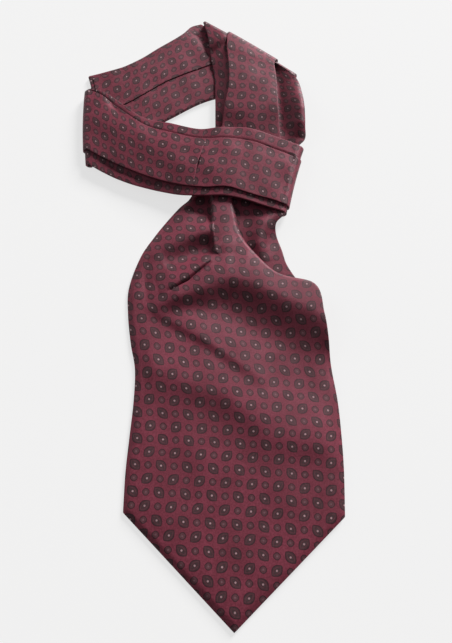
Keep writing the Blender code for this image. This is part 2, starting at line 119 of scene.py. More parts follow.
# Its size, height and seed on the front blade, and its size and usual height on the other pieces
BROAD_RIPPLE = (46.0, 0.2, 3)
FINE_RIPPLE = (17.0, 0.09, 4)
RELIEF_SIZE = 24.0
RELIEF_HEIGHT = 0.22
SIDE_PLEAT_RELIEF = 0.08
SEEDS = {"side pleat": 7, "side": 11, "rear": 21, "front": 31}

# Stretch at the left: its rise over the table, and where the flap lies on it (rows, shares across, gap)
SIDE_RISE = 0.15
FLAP_ROWS = (0.1, 5.35, 95)
FLAP_SHARE = (0.045, 0.50, 30)
FLAP_GAP = 0.1

# How far outside the wide layer's middle the panels go round the turns
REAR_RIDE = 2.2
FRONT_RIDE = 1.9
# Points on the inner side of the turns
LOOP_MIDDLE = (0.0, 150.0)
CROSSING = (0.0, 100.0)
# How far inside the right turn the return under the crossing starts
UNDER_START = 2.2
# How far the lower layer runs in before the left turn
LEFT_LEAD = 1.2

# Uppermost strip of the front band: shares kept at the left turn's start and end, degrees between them,
# rows over which it opens again, its lift, and its gap to the panel and side as shares of the width
STRIP_START = 0.6
STRIP_END = 0.12
STRIP_TURN = 60.0
STRIP_ROWS = 2.6
STRIP_LIFT = 0.75
STRIP_GAP = 0.012
STRIP_SIDE = 0.02

# Front band's panel: fullness, and the share of its width over which that grows from its upper edge
PANEL_FULLNESS = 0.45
PANEL_EASE = 0.25
# Panel's lower edge: zone across it that stands open, how far, and how much further between two row zones
LOWER_SHARE = (0.72, 0.28)
LOWER_OPEN = 0.1
LEFT_OPEN = 0.4
OPEN_FROM = (0.7, 0.8)
OPEN_TO = (4.2, -1.2)

# Slanting seam: half its gap in rows, and the slit in the panel (half width in rows, middle, spread)
SEAM_GAP = 0.008
SLIT_GAP = 0.05
SLIT_MIDDLE = 0.55
SLIT_SPREAD = 0.17

# Print: step of the repeat, and the cosine of its diagonals
PRINT_STEP = 9.1
DIAGONAL = 0.7071
# Leaf: half length, half width, power of its arcs, and how its distances compare with a spot's
LEAF_LENGTH = 4.9
LEAF_WIDTH = 3.55
LEAF_BOW = 2.2
LEAF_SHARE = 0.8
# Spot: half width, how far its corners are cut, and how round they are
SPOT_WIDTH = 2.55
SPOT_CORNER = 0.74
SPOT_ROUND = 0.5
# Edges of the motifs as distances from their outline, negative inside, and the dot at their middle
OUTLINE = (0.16, -0.16)
BODY_EDGE = (-0.36, -0.66)
LINE_OUTER = (-1.1, -1.3)
LINE_INNER = (-1.7, -1.5)
LINE_SHARE = 0.35
DOT_EDGE = (0.85, 0.5)
DOT_ON_SPOT = -0.8
# Print colours, linear
GROUND = (0.170, 0.030, 0.050, 1.0)
GROUND_DEEP = (0.135, 0.023, 0.038, 1.0)
LEAF = (0.048, 0.026, 0.029, 1.0)
LEAF_EDGE = (0.026, 0.010, 0.014, 1.0)
SPOT = (0.072, 0.032, 0.038, 1.0)
DOT = (0.360, 0.220, 0.240, 1.0)

# Silk: scale and detail of its noises, twill waves in radians a metre, and what each adds to the relief
CLOUD_NOISE = (38.0, 3.0)
SLUB_NOISE = (900.0, 2.0)
CRUMPLE_NOISE = (260.0, 4.0)
TWILL_WAVE = 9000.0
TWILL_HEIGHT = 0.16
SLUB_HEIGHT = 0.25
BUMP_STRENGTH = 0.35
BUMP_DISTANCE = 0.0004
# Silk: range of each noise, and for the slub the brightness or the roughness that its range gives
CLOUD_RANGE = (0.3, 0.7)
SLUB_VALUE = (0.25, 0.75, 0.78, 1.22)
SLUB_ROUGHNESS = (0.2, 0.8, 0.44, 0.60)
SILK_LOOK = {
    "Specular IOR Level": 0.4,
    "Specular Tint": (1.0, 0.6, 0.68, 1.0),
    "Sheen Weight": 0.15,
    "Sheen Roughness": 0.35,
    "Sheen Tint": (1.0, 0.72, 0.76, 1.0),
}

# Table, lit faintly by itself so that shadows stay pale
FLOOR_LOOK = {
    "Base Color": (0.20, 0.20, 0.202, 1.0),
    "Emission Color": (1.0, 1.0, 1.0, 1.0),
    "Emission Strength": 0.69,
    "Roughness": 0.9,
    "Specular IOR Level": 0.1,
}
FLOOR_HALF = 4.0

# Lights, all aimed at the origin: place and side in metres, power in watts, colour
LIGHTS = {
    "key": ((4.9, 8.0, 4.0), 3.4, 2000.0, (1.0, 0.985, 0.97)),
    "fill": ((-7.5, 4.3, 5.0), 5.0, 140.0, (0.98, 0.99, 1.0)),
}
WORLD_COLOUR = (1.0, 1.0, 1.0, 1.0)
WORLD_STRENGTH = 0.155

# Camera: degrees from straight down, metres from the tables' zero point, and its lens in pixels of the frame
CAMERA_TILT = 19.0
CAMERA_AWAY = 0.491
SENSOR = 36.0
LENS_PIXELS = 650.0
FRAME_PIXELS = 643.0

# Front blade: left edge x, y and right edge x, y, from the corners of the point up to the crossing
BLADE_ROWS = [
    (-70.0, -138.6, 80.7, -141.4),
    (-69.6, -112.0, 81.7, -112.0),
    (-68.0, -88.0, 81.4, -88.0),
    (-66.2, -62.0, 80.0, -62.0),
    (-66.3, -38.0, 76.8, -38.0),
    (-70.3, -18.0, 75.0, -17.0),
    (-73.4, 4.5, 72.2, 3.0),
    (-73.8, 26.0, 66.5, 25.5),
    (-66.0, 52.0, 39.5, 35.8),
    (-55.5, 70.0, 21.0, 54.5),
    (-46.0, 83.5, 11.0, 69.5),
    (-36.5, 95.5, 7.0, 86.0),
    (-29.0, 103.0, 4.6, 100.0),
    (-24.0, 114.0, 4.0, 113.0),
    (-20.0, 127.0, 4.0, 127.0),
]
BLADE_POINT_DEPTH = 72.9

# Back blade under it
BACK_ROWS = [
    (-60.0, -118.0, 71.5, -118.0),
    (-59.5, -88.0, 73.0, -88.0),
    (-57.8, -62.0, 72.0, -62.0),
    (-57.8, -38.0, 68.5, -38.0),
    (-61.5, -18.0, 65.0, -17.0),
    (-65.0, 4.5, 54.0, 6.0),
    (-65.0, 26.0, 24.0, 26.0),
    (-57.0, 46.0, 12.0, 44.0),
    (-46.0, 66.0, 5.0, 62.0),
    (-36.0, 80.0, 4.0, 78.0),
    (-27.0, 94.5, 4.0, 94.5),
]
BACK_POINT_DEPTH = 66.0

# Deeper layer of the right pleat: left edge, right hem, and the middle height at each
SIDE_ROWS = [
    (42.0, 24.5, 1.1, 62.0, 26.5, 1.0),
    (31.0, 33.0, 1.3, 55.0, 32.5, 1.1),
    (20.0, 46.0, 1.9, 46.6, 46.0, 1.6),
    (10.0, 58.0, 2.6, 43.0, 58.0, 2.2),
    (3.0, 70.0, 3.2, 38.8, 71.0, 2.8),
    (-2.0, 82.0, 4.1, 39.0, 80.0, 3.8),
    (-3.0, 92.0, 4.7, 45.5, 88.0, 4.6),
    (-3.0, 102.0, 4.8, 39.0, 99.0, 4.7),
    (-3.0, 119.0, 4.8, 36.0, 117.0, 4.8),
]

# Strokes of the front blade: x, y, height, width on the left of the line, width on its right
BLADE_STROKES = {
    "pleat left lip": [
        (-8.0, 51.0, 0.0, 2.4, 14.0),
        (-8.35, 58.0, 1.8, 1.8, 20.0),
        (-8.95, 70.0, 3.0, 1.5, 34.0),
        (-9.7, 85.0, 3.4, 1.4, 50.0),
        (-11.85, 128.0, 3.4, 1.4, 50.0),
    ],
    "pleat ridge": [
        (31.0, 38.0, 0.0, 14.0, 20.0),
        (22.0, 46.0, 0.7, 14.0, 22.0),
        (7.0, 61.0, 2.0, 16.0, 30.0),
        (2.0, 78.0, 1.6, 16.0, 36.0),
        (0.0, 101.0, 1.5, 16.0, 40.0),
        (0.0, 128.0, 1.5, 16.0, 40.0),
    ],
    "hill over the slope": [
        (-57.0, 11.0, 0.0, 10.0, 7.0),
        (-47.0, 13.5, 2.8, 12.0, 6.5),
        (-36.0, 18.5, 5.8, 20.0, 8.0),
        (-18.0, 25.5, 7.4, 24.0, 12.0),
        (-7.0, 30.3, 7.9, 26.0, 13.5),
        (3.0, 32.6, 8.2, 28.0, 15.0),
        (13.0, 31.0, 8.5, 34.0, 16.0),
        (24.0, 26.5, 8.8, 42.0, 17.0),
        (46.0, 15.5, 9.0, 60.0, 19.0),
        (65.0, 7.0, 8.8, 90.0, 20.0),
        (80.0, -3.0, 8.4, 90.0, 20.0),
    ],
    "upper lip": [
        (-46.0, 24.0, 0.5, 9.0, 4.0),
        (-36.5, 31.0, 1.5, 10.0, 4.5),
        (-28.0, 36.5, 2.0, 11.0, 5.0),
        (-18.0, 45.0, 2.0, 11.0, 5.0),
        (-10.0, 52.0, 1.0, 10.0, 5.0),
    ],
    "sharp crease": [
        (-43.5, 22.0, -0.3, 0.9, 1.2),
        (-41.0, 23.2, -1.3, 0.9, 1.3),
        (-35.0, 26.8, -2.2, 0.9, 1.4),
        (-28.6, 30.2, -2.4, 0.9, 1.5),
        (-24.4, 34.3, -2.5, 0.9, 1.5),
        (-17.6, 40.2, -2.1, 0.9, 1.4),
        (-12.6, 44.2, -0.7, 0.9, 1.2),
    ],
    "thin crease": [
        (-62.0, 14.0, 0.3, 8.0, 4.0),
        (-49.0, 4.0, 1.2, 14.0, 3.6),
        (-29.0, -7.5, 1.7, 20.0, 3.8),
        (-9.0, -20.0, 1.8, 24.0, 4.0),
        (7.5, -32.0, 1.5, 24.0, 4.4),
        (23.0, -42.5, 0.8, 24.0, 5.0),
        (34.0, -49.0, 0.0, 22.0, 6.0),
    ],
    "low fold": [
        (-67.0, -29.0, 0.8, 22.0, 10.0),
        (-47.0, -38.5, 1.9, 26.0, 12.0),
        (-27.0, -48.0, 2.6, 28.0, 13.0),
        (4.0, -58.5, 2.8, 28.0, 13.0),
        (21.0, -73.0, 2.8, 28.0, 13.0),
        (33.5, -85.5, 2.4, 28.0, 13.0),
        (55.0, -90.0, 1.7, 28.0, 12.0),
        (79.0, -95.0, 1.1, 28.0, 12.0),
    ],
    "left edge trough": [
        (-63.0, 47.0, -0.4, 4.0, 4.0),
        (-61.5, 30.0, -0.7, 4.0, 4.0),
        (-60.6, 15.0, -0.4, 4.0, 4.0),
    ],
}
# Strokes that stop at the pleat's left edge
LEFT_STROKES = {
    "left ridge": [
        (-50.0, 55.0, 0.8, 9.0, 7.0),
        (-42.0, 60.5, 2.2, 9.0, 7.0),
        (-28.0, 67.5, 3.8, 8.0, 6.5),
        (-17.0, 70.5, 4.4, 8.0, 6.0),
        (-9.0, 72.0, 4.0, 8.0, 6.0),
    ],
    "left trough": [
        (-41.0, 47.0, -1.0, 8.0, 8.0),
        (-30.0, 49.5, -2.4, 8.0, 6.0),
        (-18.0, 54.5, -3.6, 8.0, 6.0),
        (-9.0, 58.5, -3.6, 8.0, 6.0),
    ],
    "hollow by the band": [
        (-36.0, 103.0, -0.8, 10.0, 8.0),
        (-28.0, 99.0, -2.2, 11.0, 8.0),
        (-19.0, 95.0, -3.4, 12.0, 8.0),
        (-10.0, 90.0, -3.6, 11.0, 7.0),
    ],
}
# The pleat's left edge: y and x
PLEAT_EDGE = [(30.0, 40.0), (46.0, 0.0), (54.0, -8.15), (128.0, -11.85)]
# Height of the deeper pleat layer's upper face by y, which the turned edge of the pleat comes down to
UNDER_PLEAT = [(25.0, 1.8), (46.0, 2.5), (58.0, 3.2), (70.0, 3.8), (82.0, 4.7), (92.0, 5.3), (102.0, 5.4)]

# Strokes of the deeper pleat layer
SIDE_STROKES = {
    "tuck": [
        (49.0, 89.5, 3.4, 9.0, 6.0),
        (36.0, 85.0, 3.8, 9.0, 7.0),
        (30.0, 79.0, 4.6, 8.0, 8.0),
        (26.6, 71.0, 4.6, 7.0, 7.5),
        (25.9, 63.0, 3.8, 6.0, 6.5),
        (27.5, 55.0, 1.8, 6.0, 4.5),
        (31.0, 47.0, 0.0, 6.0, 4.5),
    ],
}

# Neck band stretches: edge, middle and edge points of the wall's middle surface (x, y, z)
SIDE_BAND = [
    (-117.4, 222.4, 1.5, -108.9, 182.5, 1.5, -107.6, 141.0, 1.5),
    (-93.0, 230.6, 1.5, -90.0, 191.5, 1.5, -88.0, 154.5, 1.5),
    (-77.5, 238.6, 1.5, -72.5, 202.5, 1.5, -67.0, 168.5, 1.5),
    (-58.0, 253.0, 1.5, -51.0, 217.5, 1.5, -43.5, 183.5, 1.5),
    (-39.0, 266.8, 1.5, -25.0, 230.0, 1.5, -15.5, 199.3, 1.5),
    (-30.5, 275.6, 1.5, 2.0, 241.0, 1.5, 26.0, 210.0, 1.5),
    (-22.6, 278.4, 1.5, 18.2, 247.2, 1.5, 57.0, 218.3, 1.5),
]
REAR_FOLD = (-19.6, 276.4, 7.2, 19.6, 248.9, 7.6, 58.4, 220.0, 7.2)
REAR_BAND = [
    REAR_FOLD,
    (-15.5, 262.0, 6.6, 23.0, 236.0, 7.6, 61.6, 210.0, 6.4),
    (-12.8, 242.0, 5.4, 26.0, 218.0, 8.2, 63.3, 197.0, 6.0),
    (-9.3, 220.0, 4.8, 28.0, 200.0, 8.4, 64.5, 184.0, 5.6),
    (-8.5, 197.0, 4.6, 28.5, 181.0, 7.6, 64.8, 169.0, 5.0),
    (-8.3, 174.0, 4.4, 27.5, 163.0, 5.8, 64.0, 156.5, 4.8),
    (-8.0, 152.0, 4.6, 22.0, 148.5, 4.6, 51.0, 145.0, 4.6),
    (-8.0, 130.0, 4.6, 16.0, 130.0, 4.6, 40.0, 130.0, 4.6),
]
REAR_PANEL = [
    (1.0, 247.5, 10.8, 21.0, 239.5, 10.9, 41.0, 229.5, 10.2),
    (2.6, 227.0, 11.8, 22.5, 222.0, 11.6, 42.3, 215.0, 10.7),
    (2.6, 207.0, 11.9, 22.5, 204.0, 12.0, 42.8, 199.0, 11.0),
    (-0.5, 188.5, 11.0, 21.5, 187.0, 11.5, 43.0, 184.0, 10.6),
    (-2.4, 174.0, 8.6, 20.5, 172.5, 9.4, 43.6, 170.0, 8.8),
    (-3.2, 163.0, 7.5, 20.0, 161.0, 7.7, 44.5, 157.0, 7.6),
    (-3.5, 150.0, 7.1, 19.0, 149.0, 7.2, 43.0, 147.0, 7.2),
    (-3.5, 134.0, 6.9, 17.0, 134.0, 6.9, 37.0, 134.0, 6.9),
]
REAR_PANEL_SHARE = (0.262, 0.782)
LEFT_FOLD = (-114.6, 219.4, 6.8, -115.0, 179.0, 6.8, -112.0, 134.2, 5.4)
RIGHT_FOLD = (58.9, 148.2, 9.6, 50.0, 119.5, 9.8, 43.2, 89.3, 9.6)
FRONT_BAND = [
    LEFT_FOLD,
    (-105.0, 209.0, 7.0, -102.0, 168.0, 7.4, -99.5, 126.4, 5.0),
    (-90.0, 193.0, 7.4, -84.5, 155.0, 8.2, -79.5, 116.6, 5.2),
    (-70.0, 176.0, 8.4, -62.0, 142.0, 9.2, -55.0, 108.6, 6.4),
    (-45.0, 168.8, 9.4, -38.5, 136.4, 10.6, -33.5, 103.4, 9.0),
    (-22.0, 162.8, 10.4, -18.5, 133.0, 11.7, -16.0, 102.0, 11.2),
    (0.0, 164.3, 10.8, 0.5, 133.5, 12.2, 1.0, 101.3, 12.0),
    (20.0, 163.0, 10.8, 19.0, 130.5, 11.4, 18.0, 97.3, 11.4),
    (42.0, 155.0, 10.3, 37.5, 123.5, 10.4, 34.0, 92.0, 10.2),
    RIGHT_FOLD,
]
# Where the top pleat of the front band lies across it, as shares of the band's width at each row
FRONT_PANEL_SHARE = [
    (0.20, 0.865),
    (0.135, 0.85),
    (0.114, 0.84),
    (0.112, 0.852),
    (0.155, 0.878),
    (0.16, 0.896),
    (0.18, 0.894),
    (0.19, 0.916),
    (0.19, 0.90),
    (0.20, 0.91),
]
# The slanting seam runs across the front band, at these rows of its table (upper edge, lower edge)
SEAM_ROW = (5.22, 4.44)
UNDER_BAND = [
    (32.0, 152.0, 1.5, 26.0, 124.0, 1.5, 22.0, 98.0, 1.5),
    (8.0, 156.5, 1.5, 7.0, 129.0, 1.5, 6.0, 102.0, 1.5),
    (-7.5, 157.5, 1.5, -7.5, 131.0, 1.5, -7.5, 105.0, 1.5),
]

# Strokes of the neck band's layers
REAR_STROKES = {
    "small tuck at the peak": [
        (-15.0, 248.0, 1.0, 12.0, 1.4),
        (-12.5, 249.5, 1.8, 12.0, 1.4),
        (-0.5, 257.5, 1.8, 12.0, 1.4),
        (5.0, 260.5, 0.6, 12.0, 1.4),
    ],
    "left cavity": [
        (-12.8, 246.0, -0.4, 9.0, 12.0),
        (-9.3, 226.0, -0.8, 9.0, 12.0),
        (-8.5, 200.0, -0.6, 9.0, 11.0),
        (-8.3, 178.0, -0.2, 8.0, 9.0),
    ],
    "rise under the pleat": [
        (0.0, 252.0, 0.0, 12.0, 7.5),
        (4.0, 238.0, 2.2, 12.0, 7.5),
        (5.0, 222.0, 3.0, 12.0, 7.5),
        (5.0, 205.0, 3.0, 12.0, 7.5),
        (3.0, 190.0, 2.2, 12.0, 7.5),
        (0.0, 176.0, 0.8, 12.0, 7.5),
        (-1.0, 166.0, 0.0, 12.0, 7.5),
    ],
    "right cavity": [
        (40.0, 232.0, -2.2, 8.0, 8.0),
        (43.5, 212.0, -3.8, 8.0, 8.0),
        (45.0, 190.0, -3.6, 8.0, 8.0),
        (47.0, 168.0, -1.6, 8.0, 8.0),
    ],
    "right rim": [
        (58.5, 216.0, 0.6, 7.0, 8.0),
        (60.5, 205.0, 4.2, 7.0, 9.0),
        (62.0, 194.0, 7.4, 7.0, 9.5),
        (62.5, 182.0, 8.0, 7.0, 9.5),
        (62.0, 170.0, 6.4, 7.0, 9.0),
        (60.5, 158.0, 0.8, 6.0, 7.0),
    ],
}
FRONT_STROKES = {
    "wedge under the pleat": [
        (-104.0, 136.5, -0.1, 4.0, 4.0),
        (-91.0, 129.5, -0.6, 3.0, 3.0),
        (-70.0, 120.0, -0.8, 3.0, 3.0),
        (-52.0, 114.0, -0.3, 3.0, 3.0),
        (-40.0, 111.5, -0.1, 4.0, 4.0),
    ],
}
PANEL_STROKES = {
    "notch at the left": [
        (-101.0, 199.0, -0.2, 1.4, 3.0),
        (-98.5, 195.5, -0.9, 1.4, 3.0),
        (-94.5, 188.5, -0.9, 1.4, 3.0),
        (-89.5, 182.5, -0.3, 1.4, 3.0),
    ],
    "soft ridge": [
        (-104.0, 176.0, 0.3, 9.0, 9.0),
        (-70.0, 152.0, 0.6, 9.0, 9.0),
        (-30.0, 128.0, 0.5, 9.0, 9.0),
        (20.0, 124.0, 0.4, 9.0, 9.0),
    ],
}
SIDE_BAND_STROKES = {
    "crease by the fold": [
        (-28.0, 267.0, -0.2, 1.4, 3.0),
        (-23.0, 263.5, -0.6, 1.4, 3.0),
        (-15.7, 247.4, -0.6, 1.4, 3.0),
        (-14.0, 243.0, -0.1, 1.4, 3.0),
    ],
}

# Print on the front blade by y: sideways drift, and the rows' tilt left and right of the middle
BLADE_PRINT = [
    (-215.0, -3.5, 0.05, 0.08),
    (-157.0, -2.0, 0.05, 0.08),
    (-120.0, 0.0, 0.055, 0.075),
    (-84.0, 1.5, 0.055, 0.06),
    (-48.0, -1.5, 0.075, 0.06),
    (-25.0, -4.5, 0.11, 0.03),
    (-5.0, -7.5, 0.145, 0.0),
    (15.0, -10.5, 0.15, -0.02),
    (40.0, -14.0, 0.12, 0.03),
    (65.0, -17.0, 0.08, 0.10),
    (90.0, -20.0, 0.07, 0.10),
    (130.0, -22.0, 0.07, 0.10),
]
BLADE_PRINT_CENTRE = (18.0, -120.0)


def smooth(t):
    t = np.clip(t, 0.0, 1.0)
    return t * t * (3.0 - 2.0 * t)


def rise(value, zone):
    """Share that grows smoothly from 0 to 1 over a zone."""
    return smooth((value - zone[0]) / zone[1])


def unit(vectors):
    return vectors / np.linalg.norm(vectors, axis=-1)[..., None]


def lookup(table, y, column=1):
    """Value of one column of a table at y, which is its first column."""
    values = np.array(table)
    return np.interp(y, values[:, 0], values[:, column])


def curve(rows, at):
    """Catmull-Rom value of a table at fractional row numbers."""
    rows = np.array(rows, float)
    at = np.clip(np.asarray(at, float), 0.0, len(rows) - 1.0)
    i = np.minimum(np.floor(at).astype(int), len(rows) - 2)
    f = (at - i)[..., None]
    padded = np.vstack([2 * rows[0] - rows[1], rows, 2 * rows[-1] - rows[-2]])
    a, b, c, d = padded[i], padded[i + 1], padded[i + 2], padded[i + 3]
    return 0.5 * (2 * b + (c - a) * f + (2 * a - 5 * b + 4 * c - d) * f**2 + (3 * b - a - 3 * c + d) * f**3)


def even_rows(rows, step, fine_zone=None):
    """Fractional row numbers spaced evenly along a table's middle, closer by half in a zone of y."""
    fine = np.linspace(0.0, len(rows) - 1.0, CURVE_POINTS * len(rows))
    line = curve(rows, fine)
    columns = line.shape[1]
    points = 3 if columns == 9 else 2
    right = columns - columns // points
    middle = 0.5 * (line[:, :2] + line[:, right:right + 2])
    pace = np.linalg.norm(np.diff(middle, axis=0), axis=1)
    if fine_zone:
        inside = (middle[1:, 1] > fine_zone[0]) & (middle[1:, 1] < fine_zone[1])
        pace = np.where(inside, 2.0 * pace, pace)
    run = np.concatenate([[0.0], np.cumsum(pace)])
    count = max(3, int(round(run[-1] / step)) + 1)
    return np.interp(np.linspace(0.0, run[-1], count), run, fine)


def stroke_height(x, y, strokes):
    """Sum of soft ridges and troughs, each along its own line."""
    total = np.zeros_like(x)
    for stroke in strokes.values():
        nearest = np.full(x.shape, FAR)
        value = np.zeros_like(x)
        for a, b in zip(stroke[:-1], stroke[1:]):
            dx, dy = b[0] - a[0], b[1] - a[1]
            t = np.clip(((x - a[0]) * dx + (y - a[1]) * dy) / (dx * dx + dy * dy), 0.0, 1.0)
            off_x = x - a[0] - t * dx
            off_y = y - a[1] - t * dy
            reach = np.hypot(off_x, off_y)
            right = off_x * dy - off_y * dx > 0.0
            height = a[2] + (b[2] - a[2]) * t
            width = np.where(right, a[4] + (b[4] - a[4]) * t, a[3] + (b[3] - a[3]) * t)
            here = height * np.exp(-(reach / width) ** 2)
            value = np.where(reach < nearest, here, value)
            nearest = np.minimum(reach, nearest)
        total += value
    return total


def ripple(x, y, size, height, seed):
    """Small smooth unevenness, about size mm across."""
    pick = np.random.default_rng(seed)
    total = np.zeros_like(x)
    for _ in range(WAVES):
        turn = pick.uniform(0.0, math.tau)
        wave = math.tau / (size * pick.uniform(*WAVE_RANGE))
        total += np.sin((x * math.cos(turn) + y * math.sin(turn)) * wave + pick.uniform(0.0, math.tau))
    return height * total / math.sqrt(WAVES)


def add_relief(grid, strokes, seed, height=RELIEF_HEIGHT):
    """Moves a grid's points up and down by its strokes and a little unevenness."""
    x, y = grid[..., 0], grid[..., 1]
    grid[..., 2] += stroke_height(x, y, strokes) + ripple(x, y, RELIEF_SIZE, height, seed)
    return grid


def edge_reach(x, y, line):
    """Distance from each point to a line of points."""
    nearest = np.full(x.shape, FAR)
    for a, b in zip(line[:-1], line[1:]):
        d = b - a
        t = np.clip(((x - a[0]) * d[0] + (y - a[1]) * d[1]) / max(d @ d, 1e-9), 0.0, 1.0)
        nearest = np.minimum(nearest, np.hypot(x - a[0] - t * d[0], y - a[1] - t * d[1]))
    return nearest


def surface_normals(grid):
    """Unit normals of a grid, on its upper side."""
    normal = unit(np.cross(np.gradient(grid, axis=0), np.gradient(grid, axis=1)))
    return normal * np.sign(normal[..., 2])[..., None]


def print_along(grid):
    """Print map of a band: run along its middle line and distance across from it."""
    middle = grid[:, grid.shape[1] // 2]
    run = np.concatenate([[0.0], np.cumsum(np.linalg.norm(np.diff(middle, axis=0), axis=1))])
    steps = np.linalg.norm(np.diff(grid, axis=1), axis=2)
    across = np.concatenate([np.zeros((len(grid), 1)), np.cumsum(steps, axis=1)], axis=1)
    across -= across[:, -1:] / 2
    return np.dstack([run[:, None] + np.zeros_like(across), across])


def rim_profile(layers):
    """Side of a folded stack: outward and upward shares of the half wall, one lobe for each layer."""
    profile = []
    for k in range(layers):
        centre = 1.0 - (2 * k + 1) / layers
        for angle in LOBE_ANGLES:
            turn = math.radians(angle)
            profile.append((math.sin(turn) / layers, centre + math.cos(turn) / layers))
    return profile


def end_rows(first, second, wall):
    """Rows that round off a folded end, the outermost first, each with its wall."""
    out = unit(first - second)
    turns = [math.radians(angle) for angle in END_ANGLES]
    return [(first + out * wall / 2 * math.sin(turn), wall * math.cos(turn)) for turn in turns]


def round_ends(middle, up, wall, prints):
    """Middle points, upward directions, half walls and print map, with rows added at both ends."""
    start = end_rows(middle[0], middle[1], wall[0])
    end = end_rows(middle[-1], middle[-2], wall[-1])[::-1]
    count = len(END_ANGLES)
    grid = [row for row, _ in start] + list(middle) + [row for row, _ in end]
    walls = [size for _, size in start] + list(wall) + [size for _, size in end]
    ups = [up[0]] * count + list(up) + [up[-1]] * count
    maps = [prints[0]] * count + list(prints) + [prints[-1]] * count
    return np.array(grid), np.array(ups), np.array(walls)[:, None] / 2, np.array(maps)


def shell_points(grid, up, half, maps, profile):
    """A ring of points round the cloth for each row, and their print map."""
    columns = grid.shape[1]
    left = unit(grid[:, 0] - grid[:, 1])
    right = unit(grid[:, -1] - grid[:, -2])
    sideways = np.array([0.0, 1.0])
    points = [grid[:, j] + up[:, j] * half for j in range(columns)]
    marks = [maps[:, j] for j in range(columns)]
    for out, lift in profile:
        points.append(grid[:, -1] + right * half * out + up[:, -1] * half * lift)
        marks.append(maps[:, -1] + sideways * half * out)
    for j in range(columns - 1, -1, -1):
        points.append(grid[:, j] - up[:, j] * half)
        marks.append(maps[:, j])
    for out, lift in profile[::-1]:
        points.append(grid[:, 0] + left * half * out + up[:, 0] * half * lift)
        marks.append(maps[:, 0] - sideways * half * out)
    return np.stack(points, axis=1), np.stack(marks, axis=1)


def shell_faces(rows, columns, side):
    """Faces between the rings and over the two ends, for rings with a number of points at each side."""
    ring = 2 * (columns + side)
    faces = []
    for i in range(rows - 1):
        for j in range(ring):
            k = (j + 1) % ring
            faces.append((i * ring + j, i * ring + k, (i + 1) * ring + k, (i + 1) * ring + j))
    for base in (0, (rows - 1) * ring):
        for j in range(columns - 1):
            low = 2 * columns + side - 1 - j
            faces.append((base + j, base + j + 1, base + low - 1, base + low))
        faces.append(tuple(base + columns - 1 + j for j in range(side + 2)))
        faces.append(tuple(base + 2 * columns + side - 1 + j for j in range(side + 1)) + (base,))
    return faces


def face_out(mesh):
    """Turns the faces outward if the closed volume came out negative."""
    body = bmesh.new()
    body.from_mesh(mesh)
    bmesh.ops.recalc_face_normals(body, faces=body.faces)
    if body.calc_volume(signed=True) < 0.0:
        bmesh.ops.reverse_faces(body, faces=body.faces)
    body.to_mesh(mesh)
    body.free()


def cloth(name, node, middle, up, wall, prints, layers=1):
    """Closed cloth with rounded folded edges on a grid of middle points, in place of a solid."""
    wall = np.broadcast_to(np.asarray(wall, float), (len(middle),))
    grid, up, half, maps = round_ends(middle, up, wall, prints)
    profile = rim_profile(layers)
    points, marks = shell_points(grid, up, half, maps, profile)
    points = points.reshape(-1, 3) - np.array([TABLE_ORIGIN[0], TABLE_ORIGIN[1], 0.0])
    faces = shell_faces(len(grid), grid.shape[1], len(profile))
    mesh = bpy.data.meshes.new(name)
    mesh.from_pydata((points * MM).tolist(), [], faces)
    mesh.shade_smooth()
    layer = mesh.uv_layers.new(name="print")
    corner = np.empty(len(mesh.loops), dtype=np.int32)
    mesh.loops.foreach_get("vertex_index", corner)
    layer.data.foreach_set("uv", (marks.reshape(-1, 2)[corner] * MM).ravel())
    mesh.materials.append(SILK)
    piece = bpy.data.objects.new(name, mesh)
    bpy.context.scene.collection.objects.link(piece)
    face_out(mesh)
    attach(piece, "root")
    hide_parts(node)


def join(name, node, stretches, wall, layers=2, thick_end=None):
    """Cloth over stretches in a row (points, upward directions), as thick as a stack at one end if named."""
    grid = np.concatenate([points for points, _ in stretches])
    up = np.concatenate([directions for _, directions in stretches])
    if thick_end:
        wall = np.interp(np.arange(len(grid)), (0, THICK_ROWS), (STACK_WALL, wall))
    if thick_end == "last":
        wall = wall[::-1]
    cloth(name, node, grid, up, wall, print_along(grid), layers)


def blade_grid(rows, depth, at, columns):
    """Points of a blade: straight rows above, bent to the point below."""
    line = curve(rows, at)
    v = np.linspace(0.0, 1.0, columns)
    x = line[:, None, 0] * (1 - v) + line[:, None, 2] * v
    y = line[:, None, 1] * (1 - v) + line[:, None, 3] * v
    share = np.clip(1.0 - (line[:, 1] - line[0, 1]) / POINT_REACH, 0.0, 1.0) ** POINT_EASE
    y = y - depth * share[:, None] * (1.0 - np.abs(2.0 * v - 1.0))
    return x, y, line


def blade_print(x, y):
    """Print map of the front blade."""
    drift, tilt_left, tilt_right = (lookup(BLADE_PRINT, y, column) for column in (1, 2, 3))
    off = x - BLADE_PRINT_CENTRE[0]
    tilt = np.where(off < 0.0, tilt_left, tilt_right)
    return np.dstack([off - drift, y - BLADE_PRINT_CENTRE[1] + tilt * off])


